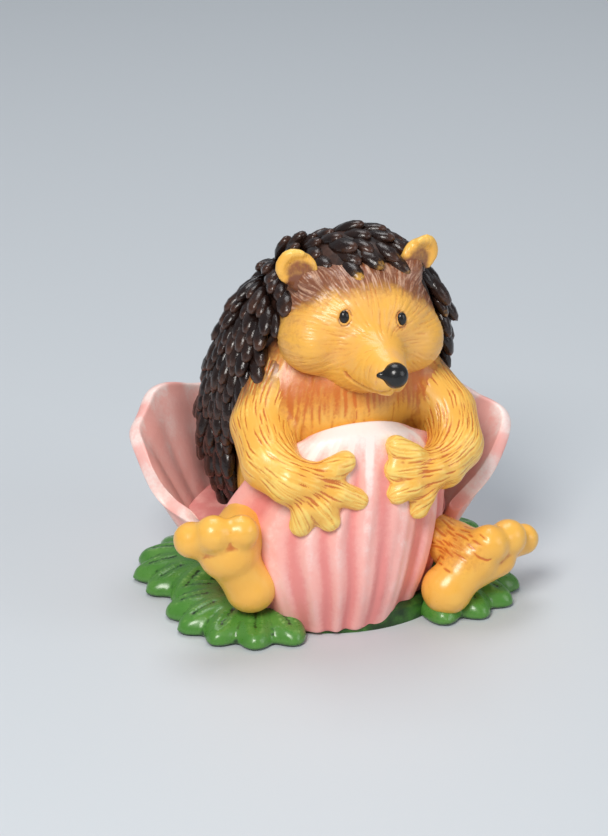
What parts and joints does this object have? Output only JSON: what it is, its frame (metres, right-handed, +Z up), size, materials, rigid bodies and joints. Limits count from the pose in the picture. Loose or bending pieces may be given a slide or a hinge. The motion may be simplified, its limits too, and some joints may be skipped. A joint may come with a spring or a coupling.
{
  "type": "hedgehog figurine",
  "caption": "Painted resin hedgehog sitting in an open flower on a rosette of leaves, a small ornament that stands on its flat underside.",
  "frame": {"origin": "centre of the bounding box at the flat underside, on the surface that the figure stands on", "axes": "+Z up; the figure looks along -Y; +X is to the right in the picture"},
  "size_m": [0.0594, 0.0541, 0.0586],
  "materials": {
    "arm_paint": "satin paint on resin, warm yellow with a brown wash in the strokes",
    "coat_paint": "gloss paint on resin, very dark brown",
    "ear_paint": "satin paint on resin, orange brown with paler rims",
    "eye_paint": "gloss black paint",
    "face_paint": "satin paint on resin, orange yellow with a brown wash on the brow",
    "foot_paint": "satin paint on resin, warm yellow",
    "fur_paint": "satin paint on resin, orange yellow with a brown wash",
    "leaf_paint": "gloss paint on resin, mid green with paler lobes",
    "nose_paint": "gloss black paint",
    "petal_paint": "satin paint on resin, pink in the hollows and nearly white on the ridges",
    "quill_paint": "gloss paint on resin, very dark brown with brown tips"
  },
  "bodies": {
    "root": {"arm_left": "arm_paint", "arm_right": "arm_paint", "body": "fur_paint", "ear_left": "ear_paint", "ear_right": "ear_paint", "eye_left": "eye_paint", "eye_right": "eye_paint", "flower_cup": "petal_paint", "foot_left": "foot_paint", "foot_right": "foot_paint", "head": "face_paint", "leaf_base": "leaf_paint", "leaf_front_left": "leaf_paint", "leaf_front_right": "leaf_paint", "leaf_rear_left": "leaf_paint", "leaf_rear_right": "leaf_paint", "nose": "nose_paint", "petal_front": "petal_paint", "petal_left": "petal_paint", "petal_rear": "petal_paint", "petal_right": "petal_paint", "quill_coat": "coat_paint", "quill_row_01": "quill_paint", "quill_row_02": "quill_paint", "quill_row_03": "quill_paint", "quill_row_04": "quill_paint", "quill_row_05": "quill_paint", "quill_row_06": "quill_paint", "quill_row_07": "quill_paint", "quill_row_08": "quill_paint", "quill_row_09": "quill_paint"}
  },
  "joints": []
}
